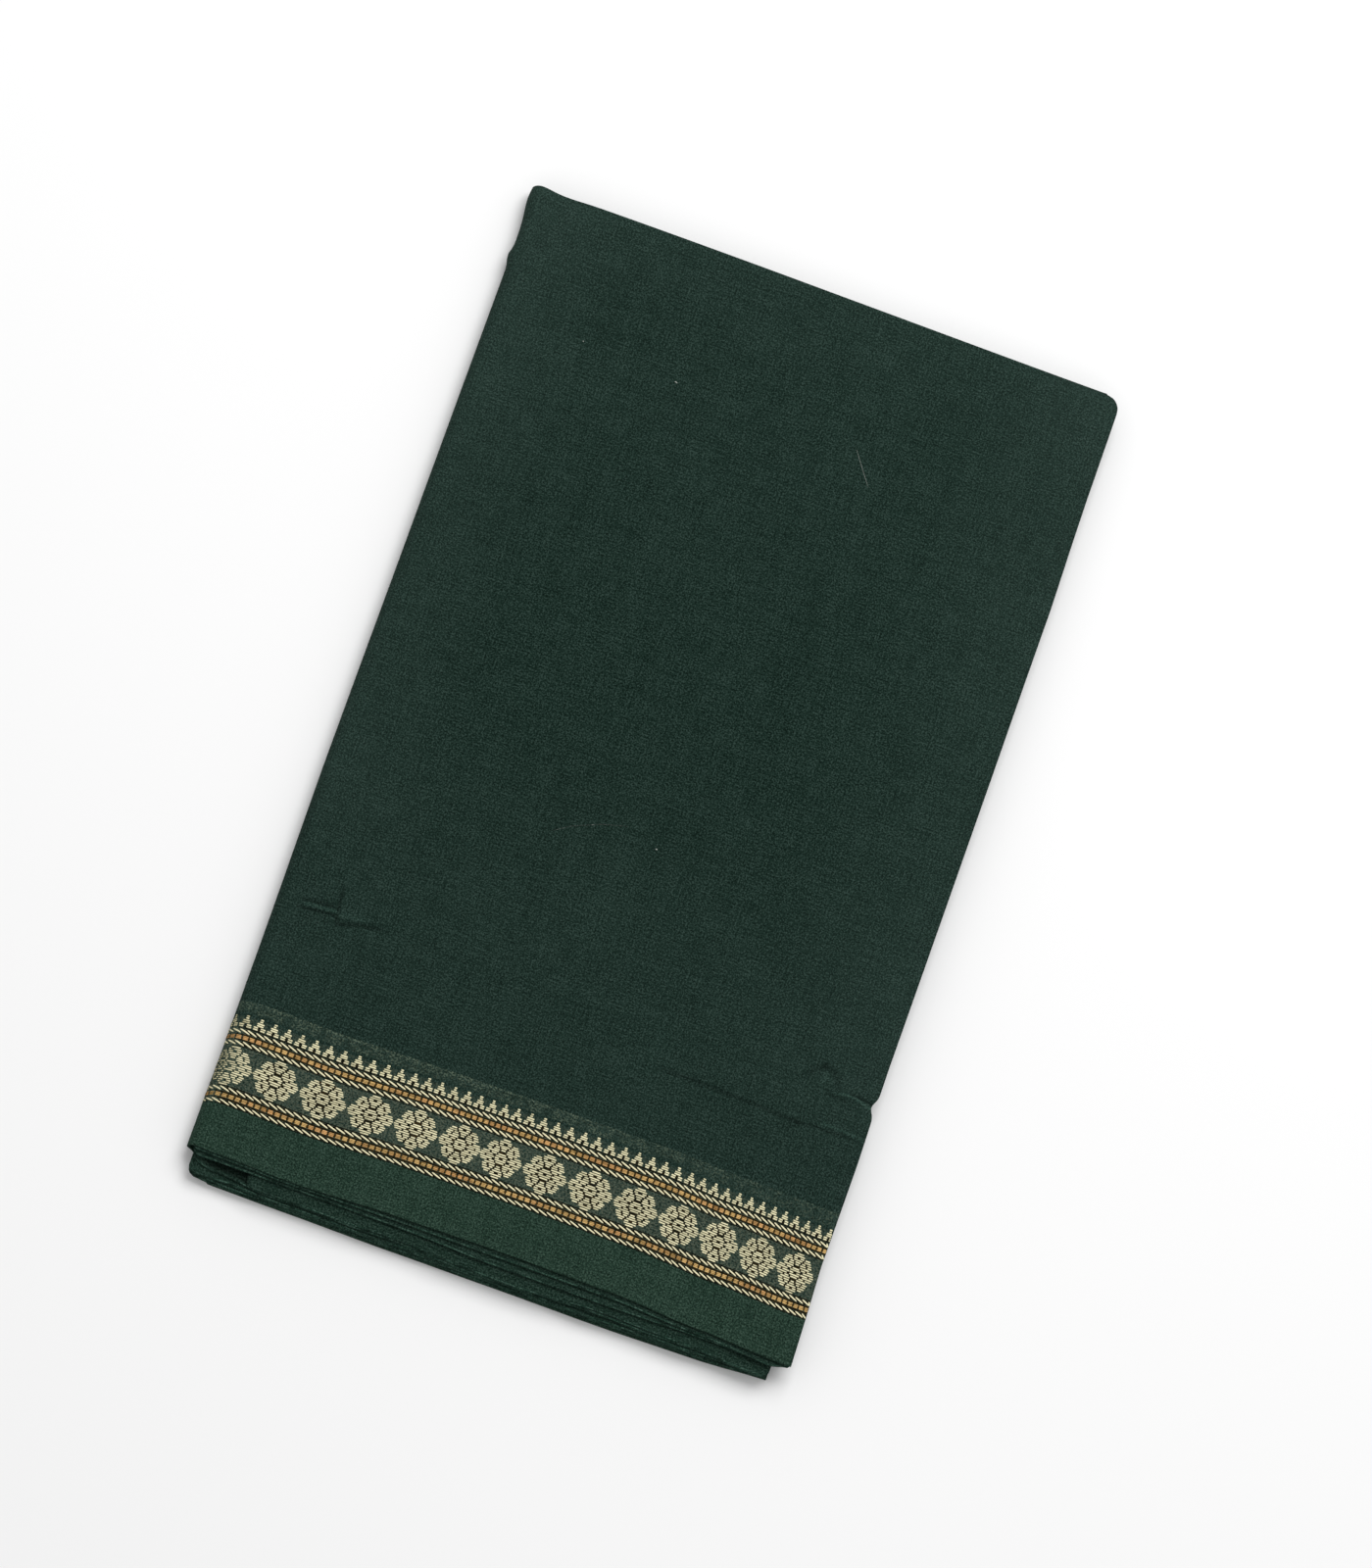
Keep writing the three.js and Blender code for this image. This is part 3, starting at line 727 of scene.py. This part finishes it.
start = (place_of(middle)[:, None] + cell[:, None] * (runs[:, 1] - HALF_WIDTH)).ravel()
end = (place_of(middle)[:, None] + cell[:, None] * (runs[:, 2] - HALF_WIDTH)).ravel()
drift = np.repeat(rng.normal(0, 0.12, (len(middle), 1)), len(runs), 1).ravel()
row_up = (ROSETTE_FOOT + ROSETTE_ROW * (runs[:, 0] + 0.5) + 0 * cell[:, None]).ravel() + drift
figure = np.tile(runs[:, 3] == 1, len(middle))
start = start + rng.normal(0, 0.1, len(start)) - 0.04
end = end + rng.normal(0, 0.1, len(end)) + 0.04
row_up = row_up + rng.normal(0, 0.04, len(start))
start, end, kept = trimmed(start, end)
lit = kept & figure
rosettes = floats(
    "rosettes",
    *straight(start[lit], end[lit], row_up[lit], 0.44, 0.2),
    rng.normal(0.95, 0.12, lit.sum()),
    cream,
    "cream_thread",
)
back_of = kept & ~figure
bed_parts = [(start[back_of] + 0.5, end[back_of] - 0.5, row_up[back_of], 0.16)]

# Teeth: a stepped little tower for every three tenths of a rosette, two rows to each step.
TEETH_FOOT = 69.72
TEETH_ROW = 1.12
TOOTH_STEPS = [(-3.2, -0.7), (0.7, 3.2), (-1.9, 1.9), (-0.8, 0.8)]
tooth_mid = place_of(np.arange(-13.5, 14.2, 0.3) + 0.02)
tooth_wide = np.gradient(tooth_mid) / 7.6
tooth_steps = [step for step in TOOTH_STEPS for _ in range(2)]
left_side = np.concatenate([tooth_mid + tooth_wide * left for left, _ in tooth_steps])
right_side = np.concatenate([tooth_mid + tooth_wide * right for _, right in tooth_steps])
tooth_row = np.repeat([0, 1, 0, 1, 2, 3, 4, 5], len(tooth_mid))
tooth_up = TEETH_FOOT + TEETH_ROW * (tooth_row + 0.5) + 0.1 * (tooth_row // 2)
left_side = left_side + rng.normal(0, 0.09, len(left_side))
right_side = right_side + rng.normal(0, 0.09, len(left_side))
left_side, right_side, kept = trimmed(left_side, right_side)
teeth = floats(
    "teeth",
    *straight(left_side[kept], right_side[kept], tooth_up[kept], 0.48, 0.2),
    rng.normal(0.98, 0.12, kept.sum()),
    cream,
    "cream_thread",
)
bed_left, bed_right, kept = trimmed(tooth_mid - 3, tooth_mid + 3)
for bed_row in (0, 1):
    bed_height = TEETH_FOOT + TEETH_ROW * (bed_row + 0.5) + 0 * tooth_mid
    bed_parts.append((bed_left[kept], bed_right[kept], bed_height[kept], 0.1))

# Beads: blocks of three ochre floats, seven to a rosette, in two strings; some dyed more orange.
BEAD_BANDS = [(30.2, 32.4), (63.05, 65.2)]
bead_mid = place_of(np.arange(-13.6, 14.2, 1 / 7))
bead_half = np.gradient(bead_mid) * 0.365
bead_start, bead_end, bead_up, bead_tone = [], [], [], []
for low, high in BEAD_BANDS:
    shade = rng.normal(0.82, 0.12, len(bead_mid))
    for row in range(3):
        bead_start.append(bead_mid - bead_half + rng.normal(0, 0.1, len(bead_mid)))
        bead_end.append(bead_mid + bead_half + rng.normal(0, 0.1, len(bead_mid)))
        bead_up.append(bead_mid * 0 + low + (high - low) * (row + 0.5) / 3)
        bead_tone.append(shade + rng.normal(0, 0.08, len(bead_mid)))
bead_up, bead_tone = np.concatenate(bead_up), np.concatenate(bead_tone)
bead_start, bead_end, kept = trimmed(np.concatenate(bead_start), np.concatenate(bead_end))
beads = floats(
    "beads",
    *straight(bead_start[kept], bead_end[kept], bead_up[kept], 0.38, 0.2),
    bead_tone[kept],
    ochre,
    "ochre_thread",
)

# Cords: four bands of slanting strands. Each strand leaves the top of its band, crosses to the
# bottom and runs on beside the next, with a dark slit between the two.
CORD_BANDS = [(26.45, 29.15), (33.4, 36.2), (59.35, 62.25), (66.1, 68.95)]
STRAND_STEP = 3 / 17  # of a rosette
STRAND_LENGTH = 1.22 * STRAND_STEP
STRAND_HALF = 0.155  # of its band's height
STRAND_SHAPE = np.array([0.55, 0.9, 1, 1.1, 1.1, 1.1, 1, 0.9, 0.55])
strand_way = np.linspace(0, 1, len(STRAND_SHAPE))
cord_along, cord_up, cord_half, cord_tone = [], [], [], []
for low, high in CORD_BANDS:
    begin = np.arange(-13.9, 14.0, STRAND_STEP) + rng.uniform(0, 0.1)
    first, last = place_of(begin), place_of(begin + STRAND_LENGTH)
    slide = rng.normal(0, 0.12, len(first))
    first, last, kept = trimmed(first + slide, last + slide)
    path = first[kept, None] + (last - first)[kept, None] * strand_way
    strand = (high - low) * STRAND_HALF
    sweep = high - strand - (high - low - 2 * strand) * strand_way
    cord_along.append(path)
    cord_up.append(sweep + 0 * path)
    cord_half.append(strand * STRAND_SHAPE + 0 * path)
    cord_tone.append(rng.normal(1.45, 0.1, len(path)))
cord_rise = 0.22 * np.array([0.3, 0.8, 1, 1, 1, 1, 1, 0.8, 0.3])
cords = floats(
    "cords",
    np.concatenate(cord_along),
    np.concatenate(cord_up),
    np.concatenate(cord_half),
    cord_rise,
    np.concatenate(cord_tone),
    cream,
    "cream_thread",
)

# Lint: a pale hair, a long curved thread and a few specks that have settled on the cloth. Each row
# is the points of its path, across the pack and up from the hem, its half width and its tone.
LINT = [
    ([(41.6, 481.8), (45.0, 476.9), (49.6, 470.4), (54.3, 463.9)], 0.12, 0.55),
    ([(-45.7, 225.0), (-36.0, 231.5), (-21.0, 238.0), (-6.5, 242.0)], 0.15, 0.15),
    ([(-63.7, 482.8), (-63.1, 483.1), (-62.6, 482.6), (-62.0, 482.8)], 0.34, 0.55),
    ([(11.2, 234.8), (11.5, 235.2), (11.8, 235.2), (12.2, 234.9)], 0.4, 0.8),
    ([(-118.2, 486.8), (-118.0, 487.0), (-117.8, 487.0), (-117.5, 486.8)], 0.24, 0.9),
]
lint_path = np.array([path for path, _, _ in LINT], float)
lint_at = np.linspace(0, 3, 13)
lint_ends = 0.35 + 0.65 * np.sin(np.pi * np.linspace(0, 1, 13)) ** 0.5
lint_along = np.array([np.interp(lint_at, range(4), row) for row in lint_path[..., 0]])
lint_up = np.array([np.interp(lint_at, range(4), row) for row in lint_path[..., 1]])
lint_half = np.array([half for _, half, _ in LINT])[:, None] * lint_ends
lint = floats(
    "lint",
    lint_along - FLAT_START,
    lint_up,
    lint_half,
    lint_half,
    [tone for _, _, tone in LINT],
    thread_material("lint", (0.03, 0.04, 0.035, 1), (0.55, 0.58, 0.53, 1), None, 0.05),
    "cream_thread",
)

# Dark threads: fine near-black lines that bound every band, brown beds behind beads and cords, and
# the short dark floats that fill the rosettes and the feet of the teeth.
DARK_LINES = [
    (26.1, 26.7, 0.0),
    (29.0, 30.1, 0.25),
    (32.4, 33.5, 0.25),
    (36.05, 36.75, 0.05),
    (58.9, 59.5, 0.0),
    (62.2, 63.1, 0.25),
    (65.15, 66.1, 0.25),
    (68.9, 69.7, 0.05),
]
DARK_BEDS = [(low, high, 0.5) for low, high in BEAD_BANDS] + [(low, high, 0.1) for low, high in CORD_BANDS]
line_along = np.linspace(CLOTH_LEFT, CLOTH_RIGHT, 170)
bars = DARK_LINES + DARK_BEDS
bar_low, bar_high, bar_tone = np.array(bars).T
line_up = ((bar_low + bar_high) / 2)[:, None] + 0 * line_along
line_half = ((bar_high - bar_low) / 2)[:, None] + 0 * line_along
line_rise = np.array([0.12] * len(DARK_LINES) + [0.05] * len(DARK_BEDS))[:, None] + 0 * line_along
lines = floats("dark_lines", line_along, line_up, line_half, line_rise, bar_tone, dark, "dark_thread")
bed_tone = np.concatenate([rng.normal(tone, 0.08, len(starts)) for starts, _, _, tone in bed_parts])
bed_start, bed_end, bed_up = (np.concatenate([part[k] for part in bed_parts]) for k in range(3))
bed_places = straight(bed_start, bed_end, bed_up, 0.62, 0.06)
dark_beds = floats("dark_fill", *bed_places, bed_tone, dark, "dark_thread")

# The panels between. Each is the cloth's two halves lying together, two plies joined by the crosswise
# fold at the far end and by lengthwise folds at the sides, and open at the hem. The reach of each
# hem is given at the places HEM_AT, and that of the inner ones for the layers HEM_LAYERS, counted up.
SECOND_HEM = np.array([1.6, 2.1, 3.2, 2.6, 3.0, 3.4, 6.0, 9.0])
THIRD_HEM = np.array([4.4, 4.4, 4.7, 5.3, 7.4, 7.6, 7.0, 7.6])
HEM_LAYERS = [0, 3, 6, 7, 9]
LAYER_HEMS = np.array(
    [
        [13.2, 14.4, 15.4, 15.6, 16, 16.4, 15.8, 14],
        [13.8, 14.4, 14.9, 15.3, 15.4, 15.8, 15.9, 15],
        [13.2, 13.6, 14.0, 13.8, 14.9, 15.4, 15.4, 15.2],
        [5.6, 9.2, 12.8, 12.8, 14.4, 13.4, 15.2, 15.2],
        [9.8, 10.2, 11.4, 12.3, 14.0, 12.2, 13.6, 14.6],
    ]
)
SHORT_LAYERS, SHORT_FROM = (8, 9), -135.5
# the hollow's painted shade lies left of HOLLOW_TO, between the heights HOLLOW_LOW and HOLLOW_HIGH
HOLLOW_TO, HOLLOW_LOW, HOLLOW_HIGH = -133.8, 8.9, 12.2
RIM_TURN = np.linspace(0, np.pi, 5)[1:-1]


def folded_panel(left, right, far, hem, middle_z, gap, corners, sag, swell=0.0, coarse=1):
    """A double ply as a closed ring of columns, from the hem up: places and the cloth's own places.

    left and right are its sides and far its end, in millimetres; hem gives its reach at x, middle_z
    its height and gap the space between its plies' middles. corners are the plan's corner radii at
    the hem and the far end, sag how far it sinks at a place, and swell the share of the wrap's own
    swells and nips that its right side follows. A hidden panel has steps that are coarse times
    as wide, apart from its hem and its left side.
    """
    flat = spaced(
        (left, left + 44, 2.2), (left + 44, right - 50, 9 * coarse), (right - 50, right, 2.6 * coarse)
    )
    column = np.concatenate([flat[::-1], np.full(3, left), flat, np.full(3, right)])
    bow = np.concatenate([0 * flat, -np.sin(RIM_TURN), 0 * flat, np.sin(RIM_TURN)])
    level = np.concatenate([0 * flat + 1, np.cos(RIM_TURN), 0 * flat - 1, -np.cos(RIM_TURN)])
    up = spaced(
        (0, 8, 1.2),
        (8, 96, 7 * coarse),
        (96, 172, 2.4 * coarse),
        (172, 520, 20 * coarse),
        (520, 552, 4 * coarse),
        (552, PANEL_LENGTH, 1.6 * coarse),
    )
    far_turn = np.linspace(0, np.pi / 2, 4)[1:-1]
    up = np.concatenate([up, PANEL_LENGTH + gap / 2 * np.sin(far_turn)])[:, None]
    squeeze = np.concatenate([np.ones(len(up) - 2), np.cos(far_turn)])[:, None]
    share = (column - left) / (right - left)
    near, distant = corners
    draw_in = corner_in(up, near) + corner_in(PANEL_LENGTH - up, distant)
    x = column + bow * gap / 2 + draw_in * (1 - 2 * share) * smooth((np.abs(2 * share - 1) - 0.8) / 0.2)
    x = x + swell * edge_shift(up) * smooth((column - 100) / 66)
    pull = 1 - smooth(up / HEM_PULL)
    far_pull = smooth((up - PANEL_LENGTH + 160) / 160)
    y = HEM + up - hem(x) * pull - (far + far_short(x)) * far_pull
    z = middle_z(x, up) + level * squeeze * gap / 2 - sag(x, up)
    round_left, round_right = left - 0.3 * np.arange(1, 4), 2 * left - right + 0 * RIM_TURN
    cloth_along = np.concatenate([flat[::-1], round_left, 2 * left - 1.2 - flat, round_right])
    places = np.stack(np.broadcast_arrays(x, y, z), -1)
    cloth = np.stack(np.broadcast_arrays(cloth_along, up), -1)
    return places, cloth


def ring_object(name, panels, material, thickness):
    """Folded panels joined in one object: each ring closed on itself, and shut at its far end.

    Painted shade darkens the hollow near the near left corner.
    """
    places, cloth, quads, before = [], [], [], 0
    for grid, flat_cloth in panels:
        rows, cols = grid.shape[:2]
        index = before + np.arange(rows * cols).reshape(rows, cols)
        turned = np.roll(index, -1, axis=1)
        quads.append(np.stack([index[:-1], index[1:], turned[1:], turned[:-1]], -1).reshape(-1, 4)[:, ::-1])
        half = (cols - 6) // 2
        top, bottom = index[-1, :half], index[-1, half + 3 : 2 * half + 3][::-1]
        quads.append(np.stack([top[:-1], top[1:], bottom[1:], bottom[:-1]], -1)[:, ::-1])
        places.append(grid.reshape(-1, 3))
        cloth.append(flat_cloth.reshape(-1, 2) + [730.0 * len(cloth), 0])
        before += rows * cols
    places, cloth, quads = np.concatenate(places), np.concatenate(cloth), np.concatenate(quads)
    mesh = bpy.data.meshes.new(name)
    mesh.from_pydata((places * MM).tolist(), [], quads.tolist())
    uv = mesh.uv_layers.new(name="cloth")
    uv.data.foreach_set("uv", (cloth * MM)[quads.ravel()].ravel())
    mesh.polygons.foreach_set("use_smooth", np.ones(len(quads), bool))
    mesh.materials.append(material)
    # painted shade in the hollow near the near left corner
    deep = smooth((cloth[:, 1] - 0.9) / 0.9) * (places[:, 2] > HOLLOW_LOW) * (places[:, 2] < HOLLOW_HIGH)
    deep = deep * smooth((HOLLOW_TO - places[:, 0]) / 1.5) * smooth((places[:, 0] + 164) / 10)
    mesh.attributes.new("painted_shading", "FLOAT", "POINT").data.foreach_set("value", -0.62 * deep)
    made = bpy.data.objects.new(name, mesh)
    bpy.context.collection.objects.link(made)
    wall = made.modifiers.new("ply", "SOLIDIFY")
    wall.thickness = thickness * MM
    wall.offset = 0
    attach(made, "root")
    return made


second_panel = folded_panel(
    -167.2,
    RIGHT - 1.0,
    1.5,
    lambda x: across(SECOND_HEM, x) - 2.3 * smooth((x - 160) / 10),
    lambda x, up: 14.3 + 0 * x,
    0.75,
    (1.2, 2),
    lambda x, up: relief(x, up) * 0.8,
    swell=1.0,
)
second = ring_object("second_folds", [second_panel], plain_cotton, PLY)
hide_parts("second_panel")
third_panel = folded_panel(
    -167.4,
    INNER_RIGHT - 0.6,
    3.0,
    lambda x: across(THIRD_HEM, x),
    lambda x, up: 12.75 + 0 * x,
    0.75,
    (4, 8),
    lambda x, up: relief(x, up) * 0.6,
)
third = ring_object("third_folds", [third_panel], plain_cotton, PLY)
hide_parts("third_panel")

INNER_COUNT = 10
INNER_LOW, INNER_HIGH = 1.75, 11.75


def wandering_hem(row, phases):
    """A layer's hem: its row of reaches, plus a slow and a quicker sine along it."""
    return lambda x: across(row, x) + 0.5 * np.sin(x / 21 + phases[0]) + 0.35 * np.sin(x / 9 + phases[1])


inner_panels = []
for k in range(INNER_COUNT):
    share = (k + 0.5) / INNER_COUNT
    row = np.array([np.interp(k, HEM_LAYERS, reach) for reach in LAYER_HEMS.T])
    height = INNER_LOW + share * (INNER_HIGH - INNER_LOW)
    round_in = ROLL_WIDE - 4.5 * math.sqrt(max(0, 1 - ((height - PACK_THICK / 2) / 7.05) ** 2)) - 0.2
    wander = rng.uniform(0, 6.28, 4)
    if k in SHORT_LAYERS:
        inner_left = SHORT_FROM + 2.2 * (INNER_COUNT - 1 - k)
    else:
        inner_left = max(LEFT + round_in, -167.0) + rng.uniform(0.0, 0.8)
    inner_panels.append(
        folded_panel(
            inner_left,
            INNER_RIGHT - rng.uniform(0.2, 2.0),
            rng.uniform(1.5, 5.0),
            wandering_hem(row, wander),
            lambda x, up, h=height, w=wander: h + 0.16 * np.sin(x / 33 + w[2]) * (1 - smooth(up / 60)),
            0.46,
            (4, 7),
            lambda x, up, s=share: relief(x, up) * 0.5 * s,
            coarse=2,
        )
    )
inner = ring_object("inner_plies", inner_panels, plain_cotton, 0.36)
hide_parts("inner_folds")
